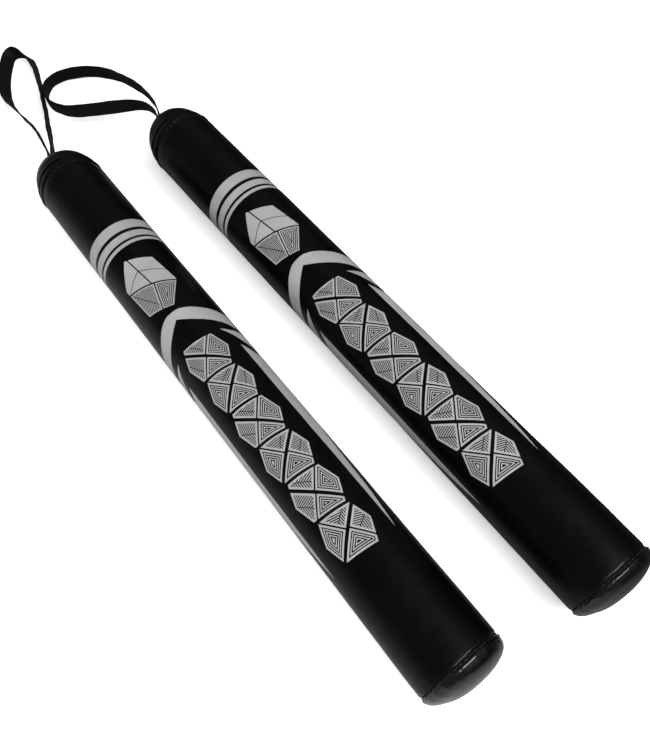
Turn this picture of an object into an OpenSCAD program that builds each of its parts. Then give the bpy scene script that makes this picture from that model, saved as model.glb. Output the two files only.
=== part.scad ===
// A pair of padded focus training sticks lying side by side on the floor.
// Each stick is a rigid tube in a foam sleeve, sewn into a black cover with a
// domed cap at the tip, a gathered cap at the butt and a webbing wrist loop.
// X runs from the wrist loops to the tips, Y from the left stick to the right, Z is up.
// The origin is on the floor, midway between the two axes and halfway from the
// far end of the longer-reaching wrist loop to the farther tip.

/* [Stick] */
// Outer diameter of a finished stick
stick_d = 65; // [50:1:80]
// Length from the pole of the butt cap to the pole of the tip cap
stick_l = 594.5; // [450:0.5:700]
// Thickness of the cover material
cover_t = 0.9; // [0.7:0.1:1.2]

/* [Core] */
// Outer diameter of the rigid core tube
core_d = 25; // [24:0.5:30]
// Wall thickness of the core tube
core_wall = 2.5; // [2:0.1:2.5]
// Length of the plug that goes into each end of the tube
plug_l = 20; // [15:1:30]

/* [Caps and seams] */
// Length of the curved part of the butt cap
butt_dome = 46; // [42:1:60]
// Distance from the butt pole to the butt seam
butt_seam = 38.2; // [36:0.1:40]
// Height of the tip cap beyond its seam
tip_dome = 17; // [14:0.5:24]
// Length of the gathered neck that the strap leaves by
neck_l = 9; // [7:0.5:9]
// Diameter of the sewing thread
thread_d = 0.5; // [0.3:0.05:0.5]
// Spacing of the stitches
stitch_pitch = 5; // [4:0.5:8]

/* [Wrist strap] */
// Width of the webbing
strap_w = 15; // [12:1:16]
// Thickness of the webbing
strap_t = 1.5; // [1:0.1:1.5]

/* [Layout of the pair] */
// Distance between the two stick axes
pair_gap = 113.2; // [111:0.2:160]
// How far the left stick lies behind the right one
stagger = 20.7; // [18:0.1:24]
// Roll of the left stick about its axis, degrees
left_roll = -14.5; // [-45:0.5:0]
// Roll of the right stick about its axis, degrees
right_roll = -22.5; // [-45:0.5:0]

/* [Hidden] */
$fn = 96;

// A station is a distance along the stick's axis from its butt pole.
stick_r = stick_d / 2;
layer_gap = 0.1;                  // air between nested layers
foam_inset = cover_t + layer_gap; // foam surface below the cover's outside
foam_r = stick_r - foam_inset;
overlap = 0.01;

// Core tube and plugs
core_r = core_d / 2;
bore_r = core_r - core_wall;
tip_seam = stick_l - tip_dome;
tube_butt = 26;                   // station of the tube's butt end
tube_tip = tip_seam - 6.5;        // station of the tube's tip end
flange_t = 3;
flange_r = core_r - 0.1;
plug_r = bore_r - 0.05;
socket_r = bore_r - 1.2;          // washer pocket in the butt plug
strap_hole_r = 6;
foam_bore_r = core_r + 0.05;
foam_tip = tube_tip + flange_t;
pad_bore_r = 6.2;

// Seams
seam_gap = thread_d + 0.1;        // groove that holds the seam thread
tip_rim = tip_seam + seam_gap / 2;
butt_rim = butt_seam - seam_gap / 2;
ring_count = floor(2 * PI * stick_r / stitch_pitch);
ring_stitch_l = 0.78 * stitch_pitch;
side_stitch_l = 0.74 * stitch_pitch;
groove_w = 1.4;
groove_depth = 0.6;

// Caps: exponents of the superellipse domes, and the neck
tip_power = 2.3;
butt_power = 3;
dome_steps = 26;
neck_outer_r = 6.65;
neck_inner_r = 5.75;
neck_flare = [[8.2, -0.25], [7.2, -0.9], [neck_outer_r, -2]]; // [radius, station]
cord_r = 0.5;
cord_pitch = 1.15;

// Strap anchorage
hinge_u = -(neck_l + 6);          // station of the strap pivot, beyond the neck
tab_t = 2 * strap_t + 1.1;        // doubled, folded webbing
tab_h = 10;
washer_play = 0.3;
washer_r = socket_r - 0.4;
washer_t = 3;
washer_u = tube_butt + washer_play;
slot_w = tab_t + 0.3;
slot_h = tab_h + 0.4;
eye_r = 2.6;
eye_u = washer_u + washer_t + eye_r + washer_play;
pin_d = 2.4;
pin_l = 14;
bartack_l = 9.2;
bartack_x = [-5.5, -6.3, -7.1];   // from the pivot
bartack_z = [-3.6:1.2:3.6];

// Loop centre lines as [x, y] from the strap pivot, in the plane the loop lies in
left_path = [[6, 2.9], [0, 2.9], [-6, 4.2], [-17, 9], [-38, 15], [-60, 21.5],
    [-93, 31.5], [-130, 41], [-162, 49.7], [-190, 57], [-209, 58.5], [-221, 51.5],
    [-219, 41], [-203, 29], [-172, 17], [-139, 9], [-110, 7], [-77, 7],
    [-55, 6.5], [-34, 4], [-17, -0.5], [-6, -2.7], [0, -2.9], [6, -2.9]];
right_path = [[6, 2.9], [0, 2.9], [-6, 3.2], [-17, 6], [-36, 11], [-69, 14.5],
    [-107, 11.5], [-134, 3.5], [-157, -11], [-171, -29], [-171.5, -46],
    [-160, -60.5], [-138, -67.2], [-119, -66.7], [-97, -59.5], [-80, -44.5],
    [-62, -23], [-46, -7.5], [-32, -2.6], [-17, -2.6], [-6, -2.9], [0, -2.9],
    [6, -2.9]];
curve_steps = 4;                  // steps between two points of a centre line
loop_room = 300;                  // longer and wider than either loop
// Angle at which each loop droops from the neck to the floor
left_droop = 6.4;
right_droop = 7.2;

// Layout: farthest reach of the left loop behind the butt pole, and the X of
// the sticks' middle that centres the whole pair
loop_reach = -hinge_u + strap_t / 2
    + max([for (p = curve(left_path)) -p[0]]) * cos(left_droop);
middle_x = loop_reach / 2;
left = -1;
right = 1;

foam_pad_color = [0.26, 0.26, 0.28];
stitch_color = [0.03, 0.03, 0.03];
webbing_color = [0.09, 0.09, 0.09];

function reversed(list) = [for (i = [len(list) - 1:-1:0]) list[i]];

// Radius of a unit dome at fraction t of its height
function dome_radius(t, power) = pow(max(0, 1 - pow(t, power)), 1 / power);
// Outline [radius, station] of a dome from its base towards its pole, while
// its radius is above stop; the pole itself is left out
function dome(radius, base, pole, power, stop = 0) =
    [for (i = [0:dome_steps])
        let (t = sin(90 * i / dome_steps), r = radius * dome_radius(t, power))
        if (r > stop) [r, base + (pole - base) * t]];
// Outline of the butt dome, set in from the cover's outside: a point at station
// rim, then the dome's points below station limit
function butt_outline(inset, rim, limit, stop) = let (radius = stick_r - inset) concat(
    [[radius * dome_radius((butt_dome - rim) / (butt_dome - inset), butt_power), rim]],
    [for (p = dome(radius, butt_dome, inset, butt_power, stop)) if (p[1] < limit) p]);

// Catmull-Rom curve through a list of points
function spline(a, b, c, d, t) = 0.5 * (2 * b + (c - a) * t
    + (2 * a - 5 * b + 4 * c - d) * t * t + (3 * b - a - 3 * c + d) * t * t * t);
function curve(path) = let (last = len(path) - 1) concat(
    [for (i = [0:last - 1]) for (j = [0:curve_steps - 1])
        spline(path[max(0, i - 1)], path[i], path[i + 1], path[min(last, i + 2)],
            j / curve_steps)],
    [path[last]]);
// Unit normal of a line at point i, and the line shifted sideways
function normal(line, i) =
    let (d = line[min(len(line) - 1, i + 1)] - line[max(0, i - 1)], unit = d / norm(d))
    [-unit[1], unit[0]];
function shifted(line, distance) =
    [for (i = [0:len(line) - 1]) line[i] + normal(line, i) * distance];

// Shapes about the stick's axis, between two stations
module along(start) translate([start, 0, 0]) rotate([0, 90, 0]) children();
module spin_x() rotate([0, 90, 0]) rotate_extrude() children();
module rod(start, end, radius) along(start) cylinder(h = end - start, r = radius);
module tube(start, end, outer, inner) along(start) difference() {
    cylinder(h = end - start, r = outer);
    translate([0, 0, -1]) cylinder(h = end - start + 2, r = inner);
}
module thread(length) cylinder(h = length, d = thread_d, $fn = 24);

// Puts a stick, built from its butt pole along X, in its place on the floor
module place(side)
    translate([middle_x - stick_l / 2 + side * stagger / 2, side * pair_gap / 2, stick_r])
        children();

// Rigid tube down the middle of a stick
module core_tube() color("gainsboro") tube(tube_butt, tube_tip, core_r, bore_r);

// Flanged, hollow plug that closes the tube at the tip
module tip_plug() color("dimgray") difference() {
    union() {
        rod(tube_tip - plug_l, tube_tip + overlap, plug_r);
        rod(tube_tip, foam_tip, flange_r);
    }
    rod(tube_tip - plug_l - 1, tube_tip - 2, bore_r - 2.2);
}

// Flanged plug at the butt, drilled for the strap, with a pocket for the washer
module butt_plug() color("dimgray") difference() {
    union() {
        rod(tube_butt - overlap, tube_butt + plug_l, plug_r);
        rod(tube_butt - flange_t, tube_butt, flange_r);
    }
    rod(tube_butt, tube_butt + plug_l + 1, socket_r);
    rod(tube_butt - flange_t - 1, tube_butt + 1, strap_hole_r);
}

// Closed-cell foam tube that gives the stick its thickness
module foam_sleeve() color([0.22, 0.22, 0.24])
    tube(butt_seam, foam_tip, foam_r, foam_bore_r);

// Foam dome between the end of the tube and the tip cap
module tip_pad() color(foam_pad_color) spin_x() let (pole = stick_l - foam_inset)
    polygon(concat(
        [[0, foam_tip + layer_gap], [foam_r, foam_tip + layer_gap]],
        dome(foam_r, tip_rim, pole, tip_power),
        [[0, pole]]));

// Foam dome at the butt, bored for the strap and recessed over the tube's end
module butt_pad() color(foam_pad_color) spin_x()
    let (rim = butt_seam - layer_gap, recess = tube_butt - flange_t - layer_gap)
    polygon(concat(
        [[foam_bore_r, rim]],
        butt_outline(foam_inset, rim, limit = rim - 0.4, stop = 6.6),
        [[pad_bore_r, foam_inset + 0.15], [pad_bore_r, recess], [foam_bore_r, recess]]));

// Sewn cover tube, with a groove along its underside for the closing seam
module cover_sleeve(roll) color([0.07, 0.07, 0.075]) difference() {
    tube(butt_rim + seam_gap, tip_seam - seam_gap / 2, stick_r, stick_r - cover_t);
    rotate([-roll, 0, 0]) translate([butt_seam - 5, -groove_w / 2, -stick_r - 1])
        cube([tip_seam - butt_seam + 10, groove_w, 1 + groove_depth]);
}

// Domed end cap sewn on at the tip; its lining comes to a point at the pole
module tip_cap() color([0.05, 0.05, 0.055]) spin_x() let (lining_r = stick_r - cover_t)
    polygon(concat(
        [[lining_r, tip_rim]],
        dome(stick_r, tip_rim, stick_l, tip_power),
        [[0, stick_l]],
        reversed(dome(lining_r, tip_rim + overlap, stick_l - cover_t + overlap, tip_power))));

// Gathered end cap at the butt, drawn in to a neck round the strap
module butt_cap() color([0.06, 0.06, 0.065]) spin_x() let (limit = butt_seam - 1)
    polygon(concat(
        butt_outline(0, butt_rim, limit, stop = 11),
        neck_flare,
        [[neck_outer_r, -neck_l], [neck_inner_r, -neck_l], [neck_inner_r, cover_t]],
        reversed(butt_outline(cover_t, butt_rim, limit, stop = 8))));

// Ring of stitches laid in a seam
module ring_stitches(station, radius) color(stitch_color) for (i = [0:ring_count - 1])
    rotate([360 * i / ring_count, 0, 0]) translate([station, -ring_stitch_l / 2, radius])
        rotate([-90, 0, 0]) thread(ring_stitch_l);
module tip_seam_stitches() ring_stitches(tip_seam, stick_r - 0.35);
module butt_seam_stitches() ring_stitches(butt_seam, stick_r - 0.4);

// Stitches that close the cover along its underside, just clear of the groove's floor
module side_seam_stitches(roll) color(stitch_color) rotate([-roll, 0, 0])
    for (x = [butt_seam + 4:stitch_pitch:tip_seam - 6])
        translate([x, 0, -(stick_r - groove_depth + 0.02 + thread_d / 2)])
            rotate([0, 90, 0]) thread(side_stitch_l);

// Three rings of cord round the gathered neck
module neck_tie() color([0.04, 0.04, 0.04]) for (i = [0:2])
    translate([-3.4 - cord_pitch * i, 0, 0]) spin_x()
        translate([neck_outer_r + cord_r + 0.05, 0]) circle(r = cord_r, $fn = 32);

// Sewn double end of the webbing, from the pivot to an eye on the tip side of the washer
module strap_tab() color(webbing_color) difference() {
    union() {
        translate([hinge_u, -tab_t / 2, -tab_h / 2]) cube([eye_u - hinge_u, tab_t, tab_h]);
        translate([hinge_u, tab_t / 2, 0]) rotate([90, 0, 0]) cylinder(h = tab_t, d = tab_h);
        translate([eye_u, 0, -tab_h / 2]) cylinder(h = tab_h, r = eye_r);
    }
    translate([eye_u, 0, -tab_h]) cylinder(h = 2 * tab_h, d = pin_d + 0.1);
}

// Slotted washer that turns in the butt plug and holds the strap in
module strap_washer() color("dimgray") difference() {
    rod(washer_u, washer_u + washer_t, washer_r);
    translate([washer_u - 1, -slot_w / 2, -slot_h / 2]) cube([washer_t + 2, slot_w, slot_h]);
}

// Cross pin through the eye of the webbing
module strap_pin() color("silver")
    translate([eye_u, 0, -pin_l / 2]) cylinder(h = pin_l, d = pin_d);

// Side view of a loop: round at the pivot, then widening to full width
module strap_side() let (end_r = tab_h / 2, half_w = strap_w / 2) polygon(concat(
    [for (a = [-75:15:75]) end_r * [cos(a), sin(a)]],
    [[-8, end_r], [-26, half_w], [-loop_room, half_w],
        [-loop_room, -half_w], [-26, -half_w], [-8, -end_r]]));

// Webbing loop standing on edge along a centre line
module loop(path, droop) color(webbing_color) let (line = curve(path))
    translate([hinge_u, 0, 0]) rotate([0, -droop, 0]) intersection() {
        translate([0, 0, -strap_w]) linear_extrude(2 * strap_w)
            polygon(concat(shifted(line, strap_t / 2), reversed(shifted(line, -strap_t / 2))));
        translate([0, loop_room / 2, 0]) rotate([90, 0, 0])
            linear_extrude(loop_room) strap_side();
    }

// Rows of thread that bind the two ends of a loop together
module bartack(droop) color(stitch_color) translate([hinge_u, 0, 0])
    rotate([0, -droop, 0]) for (x = bartack_x, z = bartack_z)
        translate([x, -bartack_l / 2, z]) rotate([-90, 0, 0]) thread(bartack_l);

module left_core_tube() place(left) core_tube();
module left_tip_plug() place(left) tip_plug();
module left_butt_plug() place(left) butt_plug();
module left_foam_sleeve() place(left) foam_sleeve();
module left_tip_pad() place(left) tip_pad();
module left_butt_pad() place(left) butt_pad();
module left_cover_sleeve() place(left) cover_sleeve(left_roll);
module left_tip_cap() place(left) tip_cap();
module left_butt_cap() place(left) butt_cap();
module left_tip_seam_stitches() place(left) tip_seam_stitches();
module left_butt_seam_stitches() place(left) butt_seam_stitches();
module left_side_seam_stitches() place(left) side_seam_stitches(left_roll);
module left_neck_tie() place(left) neck_tie();
module left_strap_tab() place(left) strap_tab();
module left_strap_washer() place(left) strap_washer();
module left_strap_pin() place(left) strap_pin();
module left_wrist_strap() place(left) loop(left_path, left_droop);
module left_strap_bartack() place(left) bartack(left_droop);
module right_core_tube() place(right) core_tube();
module right_tip_plug() place(right) tip_plug();
module right_butt_plug() place(right) butt_plug();
module right_foam_sleeve() place(right) foam_sleeve();
module right_tip_pad() place(right) tip_pad();
module right_butt_pad() place(right) butt_pad();
module right_cover_sleeve() place(right) cover_sleeve(right_roll);
module right_tip_cap() place(right) tip_cap();
module right_butt_cap() place(right) butt_cap();
module right_tip_seam_stitches() place(right) tip_seam_stitches();
module right_butt_seam_stitches() place(right) butt_seam_stitches();
module right_side_seam_stitches() place(right) side_seam_stitches(right_roll);
module right_neck_tie() place(right) neck_tie();
module right_strap_tab() place(right) strap_tab();
module right_strap_washer() place(right) strap_washer();
module right_strap_pin() place(right) strap_pin();
module right_wrist_strap() place(right) loop(right_path, right_droop);
module right_strap_bartack() place(right) bartack(right_droop);

left_core_tube();
left_tip_plug();
left_butt_plug();
left_foam_sleeve();
left_tip_pad();
left_butt_pad();
left_cover_sleeve();
left_tip_cap();
left_butt_cap();
left_tip_seam_stitches();
left_butt_seam_stitches();
left_side_seam_stitches();
left_neck_tie();
left_strap_tab();
left_strap_washer();
left_strap_pin();
left_wrist_strap();
left_strap_bartack();
right_core_tube();
right_tip_plug();
right_butt_plug();
right_foam_sleeve();
right_tip_pad();
right_butt_pad();
right_cover_sleeve();
right_tip_cap();
right_butt_cap();
right_tip_seam_stitches();
right_butt_seam_stitches();
right_side_seam_stitches();
right_neck_tie();
right_strap_tab();
right_strap_washer();
right_strap_pin();
right_wrist_strap();
right_strap_bartack();
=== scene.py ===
"""A pair of padded sticks with printed covers and webbing wrist loops, lying on a pale floor.

Each stick lies along X with its tip towards +X. Its wrist loop trails from the butt towards -X.
A place on a stick is given in mm as a station (distance along X from the nominal butt pole),
a radius, and an angle from +Z towards +Y. Finished meshes are in metres, +Z up.
"""
import math
import random

import bmesh
import bpy
import numpy as np
from mathutils import Matrix, Vector
from mathutils.geometry import delaunay_2d_cdt


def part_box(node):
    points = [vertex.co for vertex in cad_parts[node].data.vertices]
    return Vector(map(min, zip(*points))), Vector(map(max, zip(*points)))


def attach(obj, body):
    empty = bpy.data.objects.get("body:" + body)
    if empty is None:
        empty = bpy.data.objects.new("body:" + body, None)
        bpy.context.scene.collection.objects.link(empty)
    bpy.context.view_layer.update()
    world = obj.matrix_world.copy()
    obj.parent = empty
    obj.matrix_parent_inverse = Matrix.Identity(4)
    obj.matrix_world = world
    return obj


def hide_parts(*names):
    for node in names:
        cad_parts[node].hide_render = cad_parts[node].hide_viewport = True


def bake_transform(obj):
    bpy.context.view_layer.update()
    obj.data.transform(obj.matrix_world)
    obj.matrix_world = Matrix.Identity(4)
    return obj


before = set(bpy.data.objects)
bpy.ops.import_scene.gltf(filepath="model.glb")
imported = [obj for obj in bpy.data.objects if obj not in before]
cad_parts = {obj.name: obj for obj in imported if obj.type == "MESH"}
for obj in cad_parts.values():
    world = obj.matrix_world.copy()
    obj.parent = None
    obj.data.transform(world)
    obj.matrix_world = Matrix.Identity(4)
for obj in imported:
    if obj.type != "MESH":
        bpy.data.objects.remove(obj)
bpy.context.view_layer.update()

TAU = 2 * math.pi

# ---------------------------------------------------------------- sizes, mm
STICK_R = 32.5
STICK_LENGTH = 594.5    # butt pole to tip pole
BUTT_SEAM = 38.2        # station of the butt seam
BUTT_DOME = 46.0
TIP_DOME = 17.0
TIP_SEAM = STICK_LENGTH - TIP_DOME
SEAM_GAP = 0.12         # from a seam's station to the edge of each skin
SKIN = 0.9              # cover thickness
SEAM_WAVE_REACH = 3.5   # how fast the tip seam's waver dies out
BORE_R = 12.55          # hole through the foam
NECK_END = -7.0         # station where the butt cap's neck ends
INK = 0.09              # height of the print above the cover
INK_ROOT = 0.12         # how far the print reaches below the cover's face
HINGE = -15.0           # station of the strap pivot
BAND_T = 1.5            # webbing thickness
SHANK_WIDTH = 6.8       # webbing width inside the stick

# What sets the two hand-made sticks apart. Angles in degrees, lengths in mm.
STICK_SPECS = {
    "left": dict(
        seed=3, roll=-14.5, butt_sway=0.2, butt_push=1.2,
        tip_sway=3.0, tip_draw=1.5, drift=0.2, fullness=0.989,
    ),
    "right": dict(
        seed=8, roll=-22.5, butt_sway=1.3, butt_push=2.5,
        tip_sway=2.5, tip_draw=2.7, drift=1.5, fullness=1.022,
    ),
}


# ---------------------------------------------------------------- shape tools
def smooth_step(x):
    """Eases from 0 at x = 0 to 1 at x = 1."""
    x = np.clip(x, 0, 1)
    return x * x * (3 - 2 * x)


def bell(x, width):
    return np.exp(-((x / width) ** 2))


def around(count):
    """Even angles round a full turn."""
    return np.arange(count) * TAU / count


def wrapped(angle, centre):
    """Signed angle from centre, within half a turn."""
    return (angle - centre + math.pi) % TAU - math.pi


def unit_rows(vectors):
    return vectors / np.linalg.norm(vectors, axis=1)[:, None]


def gathers(rng, count, jitter, depth, reach, half_width):
    """Folds round a seam: angle, depth, reach and half-width in radians."""
    return [
        (k * TAU / count + rng.uniform(-jitter, jitter), rng.uniform(*depth),
         rng.uniform(*reach), rng.uniform(*half_width))
        for k in range(count)
    ]


def folds(items, distance, angle):
    """Depth of narrow gathers that start at a seam and fade with distance from it."""
    total = 0.0
    for place, depth, reach, half_width in items:
        fade = np.exp(-np.maximum(distance, 0) / reach)
        total = total + depth * fade * bell(wrapped(angle, place), half_width)
    return total


class Stick:
    """Where one stick lies, read from the CAD frame, and how its padding strays."""

    def __init__(self, side, seed, roll, butt_sway, butt_push, tip_sway, tip_draw, drift, fullness):
        low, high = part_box(side + "_tip_cap")
        self.side, self.seed = side, seed
        self.roll = math.radians(roll)
        self.butt_sway, self.butt_push = butt_sway, butt_push
        self.tip_sway, self.tip_draw = tip_sway, tip_draw
        self.drift, self.fullness = drift, fullness
        self.butt_x = high.x * 1000 - STICK_LENGTH
        self.axis_y = (low.y + high.y) * 500
        self.axis_z = (low.z + high.z) * 500
        rng = random.Random(seed)
        # long and short dents: wavelength, waves round the stick, phase and height
        self.waves = [
            (TAU / rng.uniform(*length), rng.choice(turns), rng.uniform(0, TAU),
             rng.uniform(*height))
            for length, turns, height in (
                ((70, 260), [1, 2, 2, 3], (0.03, 0.06)),
                ((24, 48), [2, 3, 4, 5], (0.008, 0.018)),
            )
            for _ in range(6)
        ]
        self.tip_gathers = gathers(
            rng, 46, jitter=0.03, depth=(0.18, 0.5), reach=(2.2, 7.5), half_width=(0.018, 0.032))
        self.butt_gathers = gathers(
            rng, 34, jitter=0.05, depth=(0.10, 0.34), reach=(3, 9), half_width=(0.03, 0.055))

    def ease(self, station):
        """0 at the butt, 1 along the cover."""
        return smooth_step((station - 4) / 40)

    def stretch(self, station):
        """Shift along X of the butt pad, which stands out past the nominal dome."""
        return -self.butt_push * (1 - smooth_step(station / 36))

    def girth(self, station):
        """How much fuller or slimmer the padding is than the nominal tube."""
        return 1 + (self.fullness - 1) * self.ease(station)

    def world(self, station, radius, angle, shift_y=0.0, core=False):
        """Points in metres. Core points ignore the drift and girth of the padding."""
        station, radius, angle = np.broadcast_arrays(station, radius, angle)
        rise = 0.0
        if not core:
            shift_y = shift_y + self.drift * self.ease(station)
            rise = STICK_R * (self.girth(station) - 1)
        return np.stack([
            self.butt_x + station,
            self.axis_y + shift_y + radius * np.sin(angle),
            self.axis_z + rise + radius * np.cos(angle),
        ], -1) / 1000

    def pole(self, station, shift_y=0.0):
        """A ring of one point on the axis."""
        return self.world([station], 0.0, 0.0, shift_y)

    def dents(self, station, angle):
        """Low, soft unevenness of foam under the cover."""
        mean_depth = 0.16
        return sum(
            height * np.sin(along * station + turns * angle + phase)
            for along, turns, phase, height in self.waves
        ) - mean_depth

    def seam_wave(self, angle):
        """Waver of the tip seam along X."""
        return (0.2 * np.sin(7 * angle + self.seed) + 0.13 * np.sin(19 * angle + 2.1 * self.seed)
                + 0.12 * np.sin(31 * angle + 1.3))

    def cover_radius(self, station, angle):
        """Outer radius of the sewn cover tube."""
        from_tip, from_butt = TIP_SEAM - station, station - BUTT_SEAM
        from_side_seam = wrapped(angle, math.pi + self.roll) * STICK_R
        upward = 0.5 + 0.5 * np.cos(angle)
        return (
            STICK_R * self.girth(station) + self.dents(station, angle)
            # drawn in at the tip seam, with gathers
            - 1.1 * bell(from_tip, 1.15) - 0.22 * np.exp(-np.maximum(from_tip, 0) / 7)
            - 0.8 * folds(self.tip_gathers, from_tip, angle)
            # groove at the butt seam, a swelling beside it on the upper side, and gathers
            - 0.75 * bell(from_butt, 1.6) + 0.34 * bell(from_butt - 7, 5.5) * upward
            - 0.55 * folds(self.butt_gathers, from_butt, angle)
            # groove of the underside seam between two low ridges
            - 0.5 * bell(from_side_seam, 0.75) + 0.10 * bell(np.abs(from_side_seam) - 2.0, 0.9)
        )


# ---------------------------------------------------------------- mesh tools
def add_part(stick, suffix, shape, look, *replaced, smooth_deg=50, wear=None, uv=None, rides=True):
    name = stick.side + "_" + suffix
    verts, faces = shape
    mesh = bpy.data.meshes.new(name)
    mesh.from_pydata([tuple(v) for v in verts], [], faces)
    mesh.validate()
    editor = bmesh.new()
    editor.from_mesh(mesh)
    bmesh.ops.recalc_face_normals(editor, faces=editor.faces)
    editor.to_mesh(mesh)
    editor.free()
    mesh.polygons.foreach_set("use_smooth", [True] * len(mesh.polygons))
    mesh.set_sharp_from_angle(angle=math.radians(smooth_deg))
    if wear is not None:
        layer = mesh.attributes.new("wear", "FLOAT", "POINT")
        layer.data.foreach_set("value", np.asarray(wear, np.float32))
    if uv is not None:
        layer = mesh.uv_layers.new(name="band")
        corners = np.zeros(len(mesh.loops), np.int32)
        mesh.loops.foreach_get("vertex_index", corners)
        layer.data.foreach_set("uv", np.asarray(uv, np.float32)[corners].ravel())
    mesh.materials.append(MATERIALS[look])
    part = bpy.data.objects.new(name, mesh)
    bpy.context.scene.collection.objects.link(part)
    if rides:
        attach(part, stick.side + "_stick")
    if replaced:
        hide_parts(*[stick.side + "_" + node_name for node_name in replaced])
    return part


def loft(rings, closed=False):
    """Joins rings, each a closed ring of points or one single point, into verts and faces."""
    verts, faces, first = [], [], []
    for ring in rings:
        first.append(len(verts))
        verts.extend(ring)
    pairs = [(k, k + 1) for k in range(len(rings) - 1)]
    if closed:
        pairs.append((len(rings) - 1, 0))
    for i, j in pairs:
        count, other, a, b = len(rings[i]), len(rings[j]), first[i], first[j]
        if count == 1:
            faces += [(a, b + k, b + (k + 1) % other) for k in range(other)]
        elif other == 1:
            faces += [(a + k, a + (k + 1) % count, b) for k in range(count)]
        else:
            faces += [
                (a + k, a + (k + 1) % count, b + (k + 1) % count, b + k) for k in range(count)
            ]
    return verts, faces


def join(shapes):
    """One verts and faces pair from several."""
    verts, faces = [], []
    for shape_verts, shape_faces in shapes:
        offset = len(verts)
        verts.extend(shape_verts)
        faces.extend(tuple(i + offset for i in face) for face in shape_faces)
    return verts, faces


def catmull(points, step, closed=False):
    """Smooth curve through points of any dimension, sampled by length in the first three."""
    points = np.asarray(points, float)
    count, out = len(points), []
    for i in range(count if closed else count - 1):
        if closed:
            a, b, c, d = (points[(i + k) % count] for k in (-1, 0, 1, 2))
        else:
            a, b, c, d = (points[min(max(i + k, 0), count - 1)] for k in (-1, 0, 1, 2))
        samples = max(2, int(math.ceil(np.linalg.norm((c - b)[:3]) / step)))
        t = np.arange(samples)[:, None] / samples
        out.append(0.5 * (2 * b + (c - a) * t + (2 * a - 5 * b + 4 * c - d) * t * t
                          + (3 * b - a - 3 * c + d) * t ** 3))
    out = np.concatenate(out)
    return out if closed else np.concatenate([out, points[-1:]])


def tube(path, radius, axis, sides=8, closed=False, lobes=0.0, twist=0.0):
    """A round cord along a path, all in metres. Lobes and twist give it laid strands.

    The first point of each ring lies about along axis.
    """
    path = np.asarray(path, float)
    count = len(path)
    tangent = np.roll(path, -1, 0) - np.roll(path, 1, 0)
    if not closed:
        tangent[0], tangent[-1] = path[1] - path[0], path[-1] - path[-2]
    tangent = unit_rows(tangent)
    turn = around(sides)
    rings, run = [], 0.0
    side_dir = np.array(axis, float)
    for i in range(count):
        side_dir = side_dir - tangent[i] * (side_dir @ tangent[i])
        side_dir = side_dir / np.linalg.norm(side_dir)
        if i:
            run += np.linalg.norm(path[i] - path[i - 1])
        cross_dir = np.cross(tangent[i], side_dir)
        taper = 1.0
        if not closed:
            taper = math.sqrt(max(0.05, 1 - (1 - min(1, i / 1.5, (count - 1 - i) / 1.5)) ** 2))
        ring_r = radius * taper * (1 + lobes * np.cos(2 * (turn - twist * run)))
        spokes = np.cos(turn)[:, None] * side_dir + np.sin(turn)[:, None] * cross_dir
        rings.append(path[i] + ring_r[:, None] * spokes)
    if not closed:
        cap = radius * 0.2
        rings = [path[:1] - tangent[:1] * cap] + rings + [path[-1:] + tangent[-1:] * cap]
    return loft(rings, closed)


# ---------------------------------------------------------------- shader tools
class Shader:
    """Short calls that add nodes to a material or world and return their output sockets."""

    def __init__(self, owner, end="Principled BSDF", space="Object"):
        owner.use_nodes = True
        self.owner, self.tree = owner, owner.node_tree
        self.end = self.tree.nodes[end]
        self.place = self.add("TexCoord").outputs[space]

    def put(self, socket, value):
        """Links a socket, or sets it to a number, vector or RGB colour."""
        if isinstance(value, bpy.types.NodeSocket):
            self.tree.links.new(value, socket)
        else:
            socket.default_value = (*value, 1) if socket.type == "RGBA" else value

    def fill(self, target, inputs):
        for name, value in inputs.items():
            self.put(target.inputs[name.replace("_", " ")], value)

    def add(self, kind, settings=None, **inputs):
        made = self.tree.nodes.new("ShaderNode" + kind)
        for name, value in (settings or {}).items():
            setattr(made, name, value)
        self.fill(made, inputs)
        return made

    def surface(self, **inputs):
        """Sets inputs of the closing shader node."""
        self.fill(self.end, inputs)

    def math(self, operation, first, second=0.0, *third):
        made = self.add("Math", dict(operation=operation))
        for socket, value in zip(made.inputs, (first, second, *third)):
            self.put(socket, value)
        return made.outputs[0]

    def mix(self, factor, low, high):
        """Colour between low and high."""
        made = self.add("Mix", dict(data_type="RGBA"))
        for index, value in ((0, factor), (6, low), (7, high)):
            self.put(made.inputs[index], value)
        return made.outputs[2]

    def ramp(self, factor, *stops):
        """Grey ramp through (position, value) stops."""
        made = self.add("ValToRGB", Fac=factor)
        elements = made.color_ramp.elements
        while len(elements) < len(stops):
            elements.new(0.5)
        for element, (position, value) in zip(elements, stops):
            element.position = position
            element.color = (value, value, value, 1)
        return made.outputs[0]

    def noise(self, scale, detail, roughness=0.5, place=None):
        return self.add("TexNoise", Vector=place or self.place, Scale=scale, Detail=detail,
                        Roughness=roughness).outputs[0]

    def cells(self, scale, feature):
        made = self.add("TexVoronoi", dict(feature=feature), Vector=self.place, Scale=scale)
        return made.outputs["Distance"]

    def pebbles(self, scale):
        """Leather grain: 0 in the creases, 1 on the pebbles."""
        return self.ramp(self.cells(scale, "DISTANCE_TO_EDGE"), (0.0, 0.0), (0.16, 0.75), (0.5, 1.0))

    def bump(self, strength, distance, height, **normal):
        made = self.add("Bump", Strength=strength, Distance=distance, Height=height, **normal)
        return made.outputs[0]

    def is_camera_ray(self):
        return self.add("LightPath").outputs["Is Camera Ray"]

    def split_axes(self, vector):
        return self.add("SeparateXYZ", Vector=vector).outputs


def new_shader(name):
    return Shader(bpy.data.materials.new(name))


# ---------------------------------------------------------------- materials
COVER_GRAIN = 820.0     # pebble scale of the cover, shared by the ink printed on it


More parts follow.
